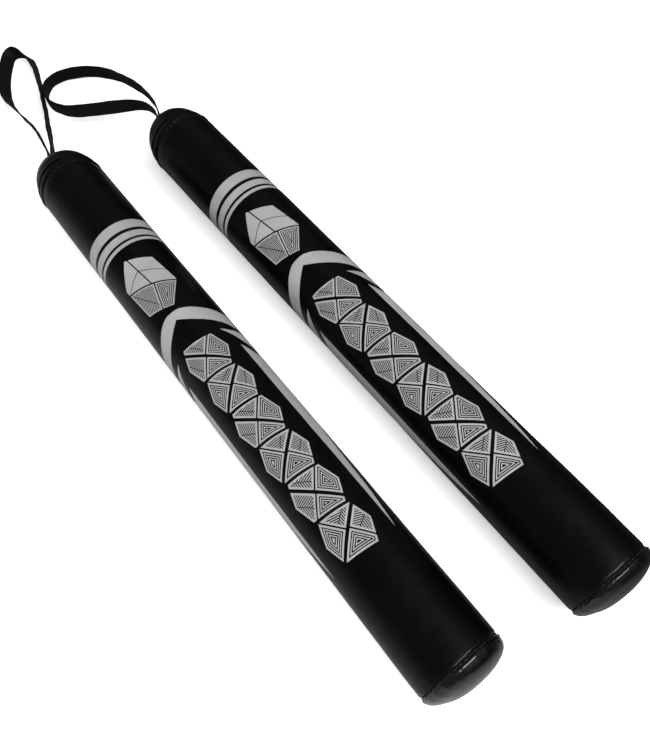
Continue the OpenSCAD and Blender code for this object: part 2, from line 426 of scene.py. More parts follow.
def leather(name, dark, light, rough, grain, cell, coat, specular):
    """Coated leather: pebbled grain, fine creases, cloudy sheen and rubbed edges."""
    shader = new_shader(name)
    pebble = shader.pebbles(cell)
    fine = shader.noise(scale=2600.0, detail=3.0, roughness=0.6)
    soft = shader.noise(scale=34.0, detail=3.0)
    cloud = shader.noise(scale=150.0, detail=2.0)
    wear = shader.add("Attribute", dict(attribute_name="wear")).outputs["Fac"]
    rub = shader.math("MULTIPLY", wear, shader.ramp(cloud, (0.35, 0.25), (0.65, 1.0)))

    crease_colour = tuple(c * 0.55 for c in dark)
    rubbed_colour = tuple(c * 2.6 + 0.004 for c in light)
    tone = shader.mix(shader.ramp(soft, (0.3, 0.0), (0.7, 1.0)), dark, light)
    tone = shader.mix(pebble, crease_colour, tone)
    tone = shader.mix(shader.math("MULTIPLY", rub, 0.5), tone, rubbed_colour)

    cloudy_rough = shader.ramp(soft, (0.3, rough - 0.035), (0.7, rough + 0.045))
    roughness = shader.math("ADD", cloudy_rough, shader.math("MULTIPLY", fine, 0.06))
    roughness = shader.math("SUBTRACT", roughness, shader.math("MULTIPLY", rub, 0.08))

    height = shader.math("ADD", pebble, shader.math("MULTIPLY", fine, 0.35))
    grain_bump = shader.bump(strength=grain, distance=0.00006, height=height)
    shader.surface(
        Base_Color=tone, Roughness=roughness, Specular_IOR_Level=specular,
        Coat_Weight=coat, Coat_Roughness=0.1,
        Normal=shader.bump(strength=0.25, distance=0.0006, height=cloud, Normal=grain_bump),
    )
    return shader.owner


def silver_print():
    """Silver ink over the grain, thinning and pinholed in places."""
    shader = new_shader("print_silver")
    pebble = shader.pebbles(COVER_GRAIN)
    soft = shader.noise(scale=60.0, detail=4.0, roughness=0.6)
    speck = shader.noise(scale=1500.0, detail=2.0)
    holes = shader.ramp(speck, (0.27, 0.0), (0.34, 1.0))
    cloud = shader.ramp(soft, (0.3, 0.0), (0.7, 1.0))
    tone = shader.mix(cloud, (0.325, 0.325, 0.322), (0.38, 0.38, 0.376))
    thinning = shader.ramp(pebble, (0.0, 0.72), (0.5, 1.0))
    tone = shader.mix(thinning, (0.19, 0.19, 0.19), tone)
    tone = shader.mix(holes, (0.14, 0.14, 0.14), tone)
    height = shader.math("ADD", pebble, shader.math("MULTIPLY", holes, 0.5))
    shader.surface(
        Base_Color=tone, Roughness=shader.ramp(soft, (0.3, 0.46), (0.7, 0.6)),
        Metallic=0.12, Specular_IOR_Level=0.35,
        Normal=shader.bump(strength=0.3, distance=0.00005, height=height),
    )
    return shader.owner


def webbing():
    """Woven band: a twill of ribs laid along it, duller in the valleys, fuzzed at the edges."""
    rib_pitch, yarn_pitch, zigzag_width = 1.5, 0.55, 3.6   # mm
    shader = new_shader("webbing")
    band = shader.add("UVMap", dict(uv_map="band")).outputs[0]
    along, across = shader.split_axes(band)[:2]
    zigzag = shader.math("FRACT", shader.math("MULTIPLY", across, 1 / zigzag_width))
    zigzag = shader.math("ABSOLUTE", shader.math("SUBTRACT", zigzag, 0.5))
    phase = shader.math("ADD", shader.math("MULTIPLY", along, TAU / rib_pitch),
                        shader.math("MULTIPLY", zigzag, TAU * 2.2))
    rib = shader.math("SINE", phase)
    yarn = shader.math("SINE", shader.math("MULTIPLY", across, TAU / yarn_pitch))
    weave = shader.math("MULTIPLY_ADD", rib, 0.32, shader.math("MULTIPLY_ADD", yarn, 0.16, 0.5))
    fuzz = shader.noise(scale=2400.0, detail=3.0)
    soft = shader.noise(scale=70.0, detail=2.0)

    tone = shader.mix(weave, (0.0006, 0.0006, 0.0006), (0.0030, 0.0030, 0.0030))
    cloud = shader.ramp(soft, (0.3, 0.0), (0.7, 0.5))
    tone = shader.mix(cloud, tone, (0.0034, 0.0033, 0.0032))
    off_centre = shader.math("MULTIPLY", shader.math("ABSOLUTE", across), 0.1)
    edge = shader.ramp(off_centre, (0.62, 0.0), (0.76, 1.0))
    edge_fuzz = shader.math("MULTIPLY", edge, shader.math("MULTIPLY", fuzz, 0.35))
    tone = shader.mix(edge_fuzz, tone, (0.008, 0.008, 0.008))

    weave_bump = shader.bump(strength=0.55, distance=0.00018, height=weave)
    shader.surface(
        Base_Color=tone, Roughness=shader.ramp(weave, (0.0, 0.8), (1.0, 0.52)),
        Specular_IOR_Level=0.16, Sheen_Weight=0.006, Sheen_Roughness=0.45,
        Normal=shader.bump(strength=0.3, distance=0.00005, height=fuzz, Normal=weave_bump),
    )
    return shader.owner


def thread():
    """Dark sewing thread with fine diagonal strands."""
    shader = new_shader("thread")
    strands = shader.add("TexWave", dict(bands_direction="DIAGONAL"), Vector=shader.place,
                         Scale=900.0, Distortion=1.5).outputs["Fac"]
    fuzz = shader.noise(scale=3000.0, detail=2.0)
    shader.surface(
        Base_Color=shader.mix(strands, (0.0015, 0.0015, 0.0015), (0.007, 0.007, 0.007)),
        Roughness=shader.ramp(fuzz, (0.3, 0.45), (0.7, 0.65)), Sheen_Weight=0.01,
        Normal=shader.bump(strength=0.5, distance=0.00008, height=strands),
    )
    return shader.owner


def foam():
    """Dark open-celled foam."""
    shader = new_shader("foam")
    cells = shader.cells(900.0, "F1")
    soft = shader.noise(scale=45.0, detail=3.0)
    cell_walls = shader.ramp(cells, (0.2, 0.0), (0.7, 1.0))
    tone = shader.mix(cell_walls, (0.022, 0.022, 0.025), (0.05, 0.05, 0.056))
    cloud = shader.ramp(soft, (0.35, 0.0), (0.7, 0.5))
    shader.surface(
        Base_Color=shader.mix(cloud, tone, (0.035, 0.036, 0.042)),
        Roughness=shader.ramp(soft, (0.3, 0.8), (0.7, 0.95)),
        Normal=shader.bump(strength=0.6, distance=0.0002, height=cells),
    )
    return shader.owner


def hard_stock(name, dark, light, rough, metal=0.0, stretch=(1, 1, 1)):
    """Plastic or metal with flow lines drawn out by stretch, and a cloudy tone."""
    shader = new_shader(name)
    mapped = shader.add("Mapping", Vector=shader.place, Scale=stretch).outputs[0]
    flow = shader.noise(scale=420.0, detail=4.0, roughness=0.55, place=mapped)
    soft = shader.noise(scale=60.0, detail=2.0)
    shader.surface(
        Base_Color=shader.mix(shader.ramp(soft, (0.3, 0.0), (0.7, 1.0)), dark, light),
        Roughness=shader.ramp(flow, (0.3, rough - 0.07), (0.7, rough + 0.1)), Metallic=metal,
        Normal=shader.bump(strength=0.25, distance=0.00006, height=flow),
    )
    return shader.owner


MATERIALS = {
    "cover_leather": leather(
        "cover_leather", dark=(0.0011, 0.0011, 0.0011), light=(0.0019, 0.0019, 0.0019),
        rough=0.26, grain=0.30, cell=COVER_GRAIN, coat=0.0, specular=0.15),
    "cap_leather": leather(
        "cap_leather", dark=(0.0013, 0.0013, 0.0013), light=(0.0026, 0.0026, 0.0026),
        rough=0.21, grain=0.2, cell=1000.0, coat=0.4, specular=0.3),
    "print_silver": silver_print(),
    "webbing": webbing(),
    "thread": thread(),
    "foam": foam(),
    "core_plastic": hard_stock(
        "core_plastic", dark=(0.52, 0.53, 0.54), light=(0.62, 0.63, 0.63),
        rough=0.42, stretch=(0.05, 1, 1)),
    "plug_plastic": hard_stock(
        "plug_plastic", dark=(0.045, 0.046, 0.05), light=(0.075, 0.076, 0.08), rough=0.45),
    "pin_steel": hard_stock(
        "pin_steel", dark=(0.55, 0.55, 0.56), light=(0.66, 0.66, 0.67),
        rough=0.28, metal=1.0, stretch=(1, 1, 0.06)),
}
CAD_LOOKS = {
    "core_tube": "core_plastic", "tip_plug": "plug_plastic", "butt_plug": "plug_plastic",
    "foam_sleeve": "foam", "tip_pad": "foam", "butt_pad": "foam",
    "cover_sleeve": "cover_leather", "tip_cap": "cap_leather", "butt_cap": "cover_leather",
    "tip_seam_stitches": "thread", "butt_seam_stitches": "thread",
    "side_seam_stitches": "thread", "neck_tie": "thread", "strap_bartack": "thread",
    "strap_tab": "webbing", "wrist_strap": "webbing",
    "strap_washer": "plug_plastic", "strap_pin": "pin_steel",
}

for cad_name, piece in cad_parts.items():
    piece_material = MATERIALS[CAD_LOOKS[cad_name.split("_", 1)[1]]]
    if not piece.material_slots:
        piece.data.materials.append(piece_material)
    for material_slot in piece.material_slots:
        material_slot.material = piece_material


# ---------------------------------------------------------------- sewn cover
def cover_angles(stick):
    """Angles round the stick, closer together along the underside seam."""
    seam = (math.pi + stick.roll) % TAU
    offsets = [0.0] + [sign * d for d in (0.25, 0.6, 1.1, 1.7, 2.4, 3.2) for sign in (-1, 1)]
    angles = sorted(x % TAU for x in [*around(168), *(seam + d / STICK_R for d in offsets)])
    kept = angles[:1]
    for angle in angles[1:]:
        if angle - kept[-1] > 0.006:
            kept.append(angle)
    return np.array(kept)


def build_cover(stick):
    angles = cover_angles(stick)
    start, end = BUTT_SEAM + SEAM_GAP, TIP_SEAM - SEAM_GAP
    # ring distances from each seam, on the outer and inner faces
    outer_steps = [0.0, 0.25, 0.55, 0.9, 1.3, 1.8, 2.4, 3.1, 4.0, 5.0, 6.2, 7.6, 9.2, 11.0, 13.0, 15.5]
    inner_steps = [0, 1, 3, 7, 14]
    outer = np.array(
        [start + d for d in outer_steps] + list(np.arange(start + 18, end - 17, 3.0))
        + [end - d for d in reversed(outer_steps)])
    inner = ([end - d for d in inner_steps] + list(np.linspace(end - 30, start + 30, 30))
             + [start + d for d in reversed(inner_steps)])

    def ring(station, drop):
        waver = stick.seam_wave(angles) * math.exp(-(end - station) / SEAM_WAVE_REACH)
        return stick.world(station + waver, stick.cover_radius(station, angles) - drop, angles)

    rings = [ring(station, 0.0) for station in outer] + [ring(station, SKIN) for station in inner]
    outer_wear = 0.9 * np.exp(-(end - outer) / 2.2) + 0.3 * np.exp(-(outer - start) / 2.0)
    wear = np.repeat([*outer_wear, *[0.0] * len(inner)], len(angles))
    add_part(stick, "cover", loft(rings, closed=True), "cover_leather", "cover_sleeve", wear=wear)


# ---------------------------------------------------------------- end caps
def arc_lengths(radius, station):
    return np.concatenate([[0], np.cumsum(np.hypot(np.diff(radius), np.diff(station)))])


def outward(radius, station, sense):
    """Radial and lengthwise parts of a profile's outward normals.

    Sense is 1 for a profile that runs towards the tip, -1 towards the butt.
    """
    tangent = np.stack([np.gradient(radius), np.gradient(station)])
    tangent /= np.linalg.norm(tangent, axis=0)
    return sense * tangent[1], -sense * tangent[0]


def tip_profile():
    """Dome from the tip seam: radius, station, distance from the seam and the normals."""
    power = 2.3
    reach = np.sin(np.linspace(0, math.pi / 2, 54))
    radius = STICK_R * np.power(np.maximum(0, 1 - reach ** power), 1 / power)
    station = TIP_SEAM + SEAM_GAP + (TIP_DOME - SEAM_GAP) * reach
    length = arc_lengths(radius, station)
    # even steps along the arc, but fine at the seam
    seam_steps = [0, 0.25, 0.55, 0.9, 1.3, 1.8, 2.4, 3.1]
    wanted = np.concatenate([seam_steps, np.linspace(4.0, length[-1] - 0.8, 24)])
    radius, station = np.interp(wanted, length, radius), np.interp(wanted, length, station)
    return radius, station, wanted, *outward(radius, station, 1)


def tip_lop(run):
    """How fully the tip pad's sway and draw act at a distance from the seam."""
    return smooth_step(run / 18)


def build_tip_cap(stick):
    angles = around(168)
    radius, station, run, normal_r, normal_x = tip_profile()
    phase = stick.seed * 0.37

    def ring(i, drop):
        swell = (
            # seam groove and the roll beside it
            -1.0 * bell(run[i], 1.0) + 0.45 * bell(run[i] - 1.9, 1.5)
            # gathers, broad scallops and slow unevenness
            - 0.95 * folds(stick.tip_gathers, run[i], angles + 0.035)
            - 0.25 * math.exp(-run[i] / 12) * np.abs(np.sin(11 * angles + phase)) * (run[i] > 1)
            + 0.10 * (radius[i] / STICK_R) * np.sin(3 * angles + 5 * run[i] / STICK_R + phase)
            - 0.08 - drop
        )
        ring_r = np.maximum(radius[i] * stick.girth(station[i]) + normal_r[i] * swell, 0.02)
        lop = tip_lop(run[i])
        waver = stick.seam_wave(angles) * math.exp(-run[i] / SEAM_WAVE_REACH)
        ring_station = station[i] + normal_x[i] * swell + waver - stick.tip_draw * lop
        return stick.world(ring_station, ring_r, angles, stick.tip_sway * lop)

    outer = [ring(i, 0.0) for i in range(len(run))]
    inner = [ring(i, SKIN) for i in reversed(range(len(run))) if i % 2 == 0 or i < 6]
    pole = STICK_LENGTH - 0.08 - stick.tip_draw
    shape = loft([stick.pole(pole - SKIN, stick.tip_sway), *inner, *outer,
                  stick.pole(pole, stick.tip_sway)])
    outer_wear = 0.95 * np.exp(-run / 2.2) + 0.12 * np.maximum(0.0, 1 - np.abs(run - 14) / 8)
    wear = np.concatenate([
        np.zeros(1 + len(inner) * len(angles)), np.repeat(outer_wear, len(angles)), [0.0]])
    add_part(stick, "tip_cap_skin", shape, "cap_leather", "tip_cap", wear=wear)


# Hollow flare from the butt dome into the neck: radius, station
NECK_FLARE = [(12.0, 0.1), (9.4, -0.8), (7.6, -1.9), (6.45, -3.3), (6.0, -4.8), (6.05, -6.0),
              (6.35, NECK_END)]
# Rings round the butt cap: station, half-width, height (negative is a groove)
BUTT_ROLL = 33.8
BUTT_RINGS = [(29.6, 1.1, -1.0), (BUTT_ROLL, 2.4, 0.75), (26.2, 2.0, 0.45), (22.6, 1.0, -0.35)]


def butt_profile():
    """Dome and neck from the butt seam: radius, station, distance and the normals."""
    power = 2.75
    edge = BUTT_SEAM - SEAM_GAP
    reach = np.sin(np.linspace(0, 1, 200) * math.pi / 2)
    radius = STICK_R * np.power(np.maximum(0, 1 - reach ** power), 1 / power)
    station = BUTT_DOME * (1 - reach)
    kept = (station < edge) & (radius > 15.0)
    radius, station = radius[kept], station[kept]
    flare = catmull([(radius[-1], station[-1]), *NECK_FLARE], 0.6)
    radius = np.concatenate([radius[:1], radius, flare[1:, 0]])
    station = np.concatenate([[edge], station, flare[1:, 1]])
    length = arc_lengths(radius, station)
    seam_steps = [0, 0.25, 0.55, 0.9, 1.3, 1.8, 2.4]
    wanted = np.concatenate([seam_steps, np.arange(3.2, length[-1], 0.75), length[-1:]])
    radius, station = np.interp(wanted, length, radius), np.interp(wanted, length, station)
    return radius, station, arc_lengths(radius, station), *outward(radius, station, -1)


def butt_shift(stick, radius, station):
    """Sideways sway of the butt pad, none at the seam or the neck."""
    return stick.butt_sway * smooth_step((34 - station) / 24) * smooth_step((radius - 7) / 13)


def build_butt_cap(stick):
    angles = around(176)
    radius, station, run, normal_r, normal_x = butt_profile()
    seed = stick.seed
    ripple = 1 + 0.35 * np.sin(5 * angles + seed) + 0.25 * np.sin(11 * angles + 2 * seed)
    waver = 0.25 * np.sin(3 * angles + seed)
    pleats = 0.95 * (1 - np.abs(np.cos(8 * angles + waver + seed))) ** 1.6

    def ring(i, drop):
        swell = -0.75 * bell(run[i], 1.6)
        for place, width, height in BUTT_RINGS:
            swell = swell + height * bell(station[i] - place, width)
        if station[i] > 20:
            swell = swell * ripple
        # pleats deepen towards the neck and ease off on it
        pleating = np.clip((27 - radius[i]) / 15, 0, 1)
        if radius[i] <= 7.5:
            pleating *= max(0.25, (radius[i] - 5) / 2.5)
        swell = swell - pleating * pleats - 0.7 * folds(stick.butt_gathers, run[i], angles)
        swell = swell - drop - 0.05
        ring_r = radius[i] * stick.girth(station[i]) + normal_r[i] * swell
        ring_r = np.maximum(ring_r, 5.0 if drop else 5.6)
        ring_station = station[i] + normal_x[i] * swell + stick.stretch(station[i])
        return stick.world(ring_station, ring_r, angles, butt_shift(stick, radius[i], station[i]))

    order = range(len(run))
    rings = [ring(i, 0.0) for i in order]
    rings += [ring(i, SKIN * 0.75 if radius[i] < 12 else SKIN) for i in reversed(order)]
    outer_wear = (0.3 * np.exp(-run / 2.0) + 0.55 * bell(station - BUTT_ROLL, 2.0)
                  + 0.5 * (1 - np.minimum(1, radius / 14)))
    wear = np.repeat([*outer_wear, *[0.0] * len(run)], len(angles))
    add_part(stick, "butt_cap_skin", loft(rings, closed=True), "cover_leather", "butt_cap",
             wear=wear)


# ---------------------------------------------------------------- foam
FOAM_ANGLES = around(96)
FOAM_END = 573.6        # station where the foam tube ends
TIP_PAD_BASE = 573.9


def build_foam_tube(stick):
    stations = np.linspace(BUTT_SEAM + 0.3, FOAM_END, 60)
    rings = []
    for station in stations:
        # the skin's inside, read clear of the seam grooves, with the end edges eased
        clear = max(BUTT_SEAM + 4, min(station, TIP_SEAM - 6))
        ease = 0.4 if station in (stations[0], stations[-1]) else 0
        radius = stick.cover_radius(clear, FOAM_ANGLES) - SKIN - 0.35 - ease
        rings.append(stick.world(station, radius, FOAM_ANGLES))
    rings += [stick.world(station, BORE_R, FOAM_ANGLES, core=True) for station in stations[::-6]]
    add_part(stick, "foam_tube", loft(rings, closed=True), "foam", "foam_sleeve")


def build_tip_foam(stick):
    radius, station, run, normal_r, normal_x = tip_profile()
    rings = [stick.pole(TIP_PAD_BASE)]
    for rim_station, rim_r in ((TIP_PAD_BASE, 30.2), (574.6, 30.7)):
        rings.append(stick.world(rim_station, rim_r * stick.fullness, FOAM_ANGLES))
    for i in range(4, len(run), 2):
        depth = SKIN + 1.25 * bell(run[i], 3.0) + 0.75
        lop = tip_lop(run[i])
        ring_station = station[i] - normal_x[i] * depth - stick.tip_draw * lop
        ring_r = max(0.05, radius[i] * stick.girth(station[i]) - normal_r[i] * depth)
        rings.append(stick.world(ring_station, ring_r, FOAM_ANGLES, stick.tip_sway * lop))
    rings.append(stick.pole(STICK_LENGTH - SKIN - 0.9 - stick.tip_draw, stick.tip_sway))
    add_part(stick, "tip_foam", loft(rings), "foam", "tip_pad")


def build_butt_foam(stick):
    radius, station, _, normal_r, normal_x = butt_profile()
    rings = []
    for i in range(6, len(radius), 2):
        if radius[i] < 13.5:
            break
        depth = SKIN + 1.3 + (1.1 if radius[i] < 27 else 0.2)
        ring_r = radius[i] * stick.girth(station[i]) - normal_r[i] * depth
        ring_station = station[i] - normal_x[i] * depth + stick.stretch(station[i])
        shift = butt_shift(stick, radius[i], station[i])
        rings.append(stick.world(ring_station, ring_r, FOAM_ANGLES, shift))
    # stepped hole through the pad: station, radius
    hole = [(3.2, 8.4), (4.2, 6.4), (22.8, 6.3), (22.9, BORE_R), (37.4, BORE_R)]
    rings += [stick.world(place, hole_r, FOAM_ANGLES, core=True) for place, hole_r in hole]
    rings.append(stick.world(37.6, 29.4 * stick.fullness, FOAM_ANGLES))
    add_part(stick, "butt_foam", loft(rings, closed=True), "foam", "butt_pad")


# ---------------------------------------------------------------- sewing
THREAD_LAY = dict(lobes=0.12, twist=5200.0)


def stitch_dip(depth, count):
    """Both ends of a stitch sink below its middle."""
    return -depth * np.abs(np.linspace(-1, 1, count)) ** 4


def build_ring_seam(stick, name, seam, sink, count, wavy):
    """Sunk stitches round the stick at one seam."""
    radius = STICK_R - sink + STICK_R * (stick.girth(seam) - 1) + stitch_dip(0.55, 7)
    stitches = []
    for middle in around(count):
        angles = middle + np.linspace(-0.37, 0.37, 7) * TAU / count
        station = seam + (stick.seam_wave(angles) if wavy else 0.0)
        path = stick.world(station, radius, angles)
        stitches.append(tube(path, 0.00026, axis=(1, 0, 0), **THREAD_LAY))
    add_part(stick, name + "_thread", join(stitches), "thread", name + "_stitches", smooth_deg=60)


def build_side_seam(stick):
    """The row of stitches that closes the underside."""
    stitches = []
    angles = math.pi + stick.roll + np.linspace(-1, 1, 9) * 0.18 / STICK_R
    for start in np.arange(BUTT_SEAM + 5, TIP_SEAM - 7, 5.0):
        stations = start + np.linspace(0, 3.7, 9)
        radius = stick.cover_radius(stations, angles) + 0.16 + stitch_dip(0.45, 9)
        path = stick.world(stations, radius, angles)
        stitches.append(tube(path, 0.00024, axis=(0, 1, 0), **THREAD_LAY))
    add_part(stick, "side_seam_thread", join(stitches), "thread", "side_seam_stitches",
             smooth_deg=60)


def build_neck_cord(stick):
    """Cord wound round the neck, its ends tucked in."""
    turns, samples, tuck = 3.25, 150, 6
    angles = np.linspace(0, turns * TAU, samples) + 2.2
    stations = np.linspace(-2.9, -6.0, samples)
    radius = 6.42 + 0.22 * bell(stations + 3.0, 0.8) + 0.42
    radius[:tuck] -= np.linspace(0.7, 0.0, tuck)
    radius[-tuck:] -= np.linspace(0.0, 0.7, tuck)
    path = stick.world(stations + stick.stretch(0.0), radius, angles)
    shape = tube(path, 0.00047, axis=(1, 0, 0), sides=14, lobes=0.13, twist=2600.0)
    add_part(stick, "neck_cord", shape, "thread", "neck_tie", smooth_deg=60)


# ---------------------------------------------------------------- flat shapes for the print
# Flat points are (station, arc from the print's middle line) in mm. An area is a list of
# closed loops filled even-odd, and a motif is a list of areas drawn as one film.
def densify(polygon, step=1.3):
    corners = np.asarray(polygon, float)
    out = []
    for i in range(len(corners)):
        a, b = corners[i], corners[(i + 1) % len(corners)]
        pieces = max(1, int(math.ceil(np.linalg.norm(b - a) / step)))
        out += [a + (b - a) * j / pieces for j in range(pieces)]
    return np.array(out)


def inside(points, polygon):
    """Even-odd test of many points against one closed polygon."""
    x, y = points[:, 0][:, None], points[:, 1][:, None]
    ends = np.roll(polygon, -1, 0)
    start_x, start_y, end_x, end_y = polygon[:, 0], polygon[:, 1], ends[:, 0], ends[:, 1]
    spans = (start_y > y) != (end_y > y)
    # level edges divide by zero, but spans leaves them out
    with np.errstate(divide="ignore", invalid="ignore"):
        left_of = x < (end_x - start_x) * (y - start_y) / (end_y - start_y) + start_x
    return (spans & left_of).sum(1) % 2 == 1


def triangulate(motif):
    """Points and triangles that cover a motif, with inner points so it can bend."""
    areas = [[densify(polygon) for polygon in area] for area in motif]
    loops = [loop for area in areas for loop in area]

    def covered(points):
        hit = np.zeros(len(points), bool)
        for area in areas:
            hit |= sum(inside(points, loop).astype(int) for loop in area) % 2 == 1
        return hit

    outline = np.concatenate(loops)
    low, high = outline.min(0), outline.max(0)
    step_x, step_y = 2.3, 2.0
    grid_x, grid_y = np.meshgrid(np.arange(low[0], high[0], step_x),
                                 np.arange(low[1], high[1], step_y))
    grid_x = grid_x + (np.arange(grid_x.shape[0])[:, None] % 2) * 1.15
    grid = np.stack([grid_x.ravel(), grid_y.ravel()], 1)
    if len(grid):
        grid = grid[covered(grid)]
    if len(grid):
        # drop grid points close to the outline, in chunks to save memory
        close = np.zeros(len(grid), bool)
        for k in range(0, len(outline), 400):
            gaps = np.linalg.norm(grid[:, None] - outline[None, k:k + 400], axis=2)
            close |= (gaps < 0.95).any(1)
        grid = grid[~close]
    verts, edges = [], []
    for loop in loops:
        first = len(verts)
        verts += [Vector(map(float, point)) for point in loop]
        edges += [(first + k, first + (k + 1) % len(loop)) for k in range(len(loop))]
    verts += [Vector(map(float, point)) for point in grid]
    result = delaunay_2d_cdt(verts, edges, [], 0, 1e-5)
    points = np.array([tuple(point) for point in result[0]])
    triangles = np.array([tuple(face) for face in result[2]], int)
    a, b, c = (points[triangles[:, k]] for k in range(3))
    size = np.abs(np.cross(b - a, c - a)) / 2
    return points, triangles[covered(points[triangles].mean(1)) & (size > 1e-6)]


def ink_film(stick, motif):
    """A thin closed film on the cover from one motif."""
    points, triangles = triangulate(motif)
    used, index = np.unique(triangles, return_inverse=True)
    triangles = index.reshape(-1, 3).tolist()
    station, arc = points[used].T
    angles = stick.roll + arc / STICK_R
    base = stick.cover_radius(station, angles)
    top = stick.world(station, base + INK, angles)
    bottom = stick.world(station, base - INK_ROOT, angles)
    count = len(used)
    faces = [tuple(face) for face in triangles]
    faces += [tuple(i + count for i in face[::-1]) for face in triangles]
    edges = dict.fromkeys((face[k], face[(k + 1) % 3]) for face in triangles for k in range(3))
    faces += [(j, i, i + count, j + count) for i, j in edges if (j, i) not in edges]
    return [*top, *bottom], faces


def add_print(stick, name, motifs):
    shape = join(ink_film(stick, motif) for motif in motifs)
    add_part(stick, "print_" + name, shape, "print_silver", smooth_deg=35)


def clip(polygon, point, normal):
    """Part of a convex polygon on the side of the line through point that normal points to."""
    out = []
    for i in range(len(polygon)):
        a = np.asarray(polygon[i], float)
        b = np.asarray(polygon[(i + 1) % len(polygon)], float)
        height_a, height_b = (a - point) @ normal, (b - point) @ normal
        if height_a >= 0:
            out.append(a)
        if (height_a > 0) != (height_b > 0) and abs(height_a - height_b) > 1e-9:
            out.append(a + (b - a) * height_a / (height_a - height_b))
    return out


def signed_area(polygon):
    a = np.asarray(polygon)
    b = np.roll(a, -1, 0)
    return 0.5 * float((a[:, 0] * b[:, 1] - b[:, 0] * a[:, 1]).sum())


def inset(polygon, distance):
    """A convex polygon shrunk by distance, or None if little is left."""
    corners = [np.asarray(corner, float) for corner in polygon]
    if signed_area(corners) < 0:
        corners = corners[::-1]
    out = corners
    for i in range(len(corners)):
        a, b = corners[i], corners[(i + 1) % len(corners)]
        along = (b - a) / np.linalg.norm(b - a)
        normal = np.array([-along[1], along[0]])
        out = clip(out, a + normal * distance, normal)
        if len(out) < 3:
            return None
    return out if abs(signed_area(out)) > 0.6 else None


def split(polygon, point, direction, gap):
    """Cuts a convex polygon along a line, leaving a gap. The left side comes first."""
    along = np.asarray(direction, float)
    along /= np.linalg.norm(along)
    normal = np.array([-along[1], along[0]])
    point = np.asarray(point, float)
    out = []
    for sign in (1, -1):
        piece = clip(polygon, point + normal * sign * gap / 2, normal * sign)
        if len(piece) >= 3 and abs(signed_area(piece)) > 6:
            out.append(piece)
    return out


def nested_lines(polygon, border, line, pitch):
    """Smaller and smaller outlines inside one another."""
    areas = []
    depth = border + pitch - line
    while True:
        outer, hole = inset(polygon, depth), inset(polygon, depth + line)
        if outer is None:
            return areas
        areas.append([outer] if hole is None else [outer, hole])
        depth += pitch


def hatching(polygon, border, line, pitch, spine_angle):
    """Two families of slanted strokes that meet on a spine."""
    centre = np.mean(np.asarray(polygon), 0)
    spine = np.array([math.cos(spine_angle), math.sin(spine_angle)])
    normal = np.array([-spine[1], spine[0]])
    core = inset(polygon, border - 0.02)
    slant, areas = 0.95, []
    for sign in (1, -1):
        half = clip(core, centre + normal * sign * 0.3, normal * sign)
        if len(half) < 3:
            continue
        stroke = spine * math.cos(sign * slant) + normal * math.sin(sign * slant)
        across = np.array([-stroke[1], stroke[0]])
        for k in range(-30, 30):
            strip = clip(half, centre + across * (k * pitch), across)
            if len(strip) >= 3:
                strip = clip(strip, centre + across * (k * pitch + line), -across)
            if len(strip) >= 3 and abs(signed_area(strip)) > 0.25:
                areas.append([strip])
    return areas


def facet(polygon, spine_angle, border, line, pitch):
    """Motif of one facet: a border, then hatching, or nested lines if there is no spine."""
    hole = inset(polygon, border)
    if hole is None:
        return [[polygon]]
    if spine_angle is None:
        return [[polygon, hole]] + nested_lines(polygon, border, line, pitch)
    return [[polygon, hole]] + hatching(polygon, border, line, pitch, spine_angle)


def smooth_edge(points):
    return [tuple(point) for point in catmull(points, 2.0)]


def flattened(points, sign=1):
    """Flat points from (degrees off the middle line, station)."""
    return [(station, sign * STICK_R * math.radians(degrees)) for degrees, station in points]


# ---------------------------------------------------------------- print
PRINT_RINGS = [(133.9, 145.2), (149.0, 156.8), (159.5, 163.1)]     # start and end stations

# Edges of the print: degrees off the middle line, station
CHEVRON_BUTT_EDGE = [
    (0, 247.0), (9, 247.2), (17, 248.6), (28, 251.6), (42, 256.3), (57, 260.8), (70, 265),
    (90, 272.5), (105, 279.5), (117, 287)]
CHEVRON_TIP_EDGE = [
    (0, 255.3), (13, 260.9), (26, 266.1), (43, 272.1), (59, 277.3), (70, 281), (90, 286.4),
    (105, 288.6), (117, 288)]
FLASH_BUTT_EDGE = [
    (42, 282.7), (55, 285.2), (65, 286.8), (77, 288.2), (95, 291.5), (112, 299)]
FLASH_TIP_EDGE = [
    (42, 282.7), (56, 291.8), (66, 299), (77, 304.6), (95, 307), (112, 301)]
BLADE_CURVE = [
    (57, 488), (65, 464), (69, 443), (72.5, 421), (76.5, 404), (82, 394), (92, 374),
    (102, 346), (106, 330), (101, 319)]
BLADE_BASE = [(92, 316.0), (82, 314.2), (72, 312.6), (63.5, 307.8), (55, 302.3)]

# Outline of the cut gem: station, arc
GEM = [(197.5, -19.8), (233.5, -16.5), (242.0, 6.5), (218.0, 23.0), (186.5, 18.0), (175.5, -4.0)]
LOZENGE_SPAN = (281.5, 490.5)
LOZENGE_COUNT = 6


def build_print_rings(stick):
    """Three rings all round the stick."""
    angles = around(168)
    rings = []
    for start, end in PRINT_RINGS:
        stations = np.linspace(start, end, max(3, int((end - start) / 2.2) + 1))
        film = [
            stick.world(station, stick.cover_radius(station, angles) + height, angles)
            for height, order in ((INK, stations), (-INK_ROOT, stations[::-1]))
            for station in order
        ]
        rings.append(loft(film, closed=True))
    add_part(stick, "print_rings", join(rings), "print_silver", smooth_deg=35)


def build_chevron(stick):
    butt_edge, tip_edge = smooth_edge(CHEVRON_BUTT_EDGE), smooth_edge(CHEVRON_TIP_EDGE)
    outline = (flattened(butt_edge[::-1], -1) + flattened(butt_edge[1:])
               + flattened(tip_edge[:0:-1]) + flattened(tip_edge, -1))
    add_print(stick, "chevron", [[[outline]]])


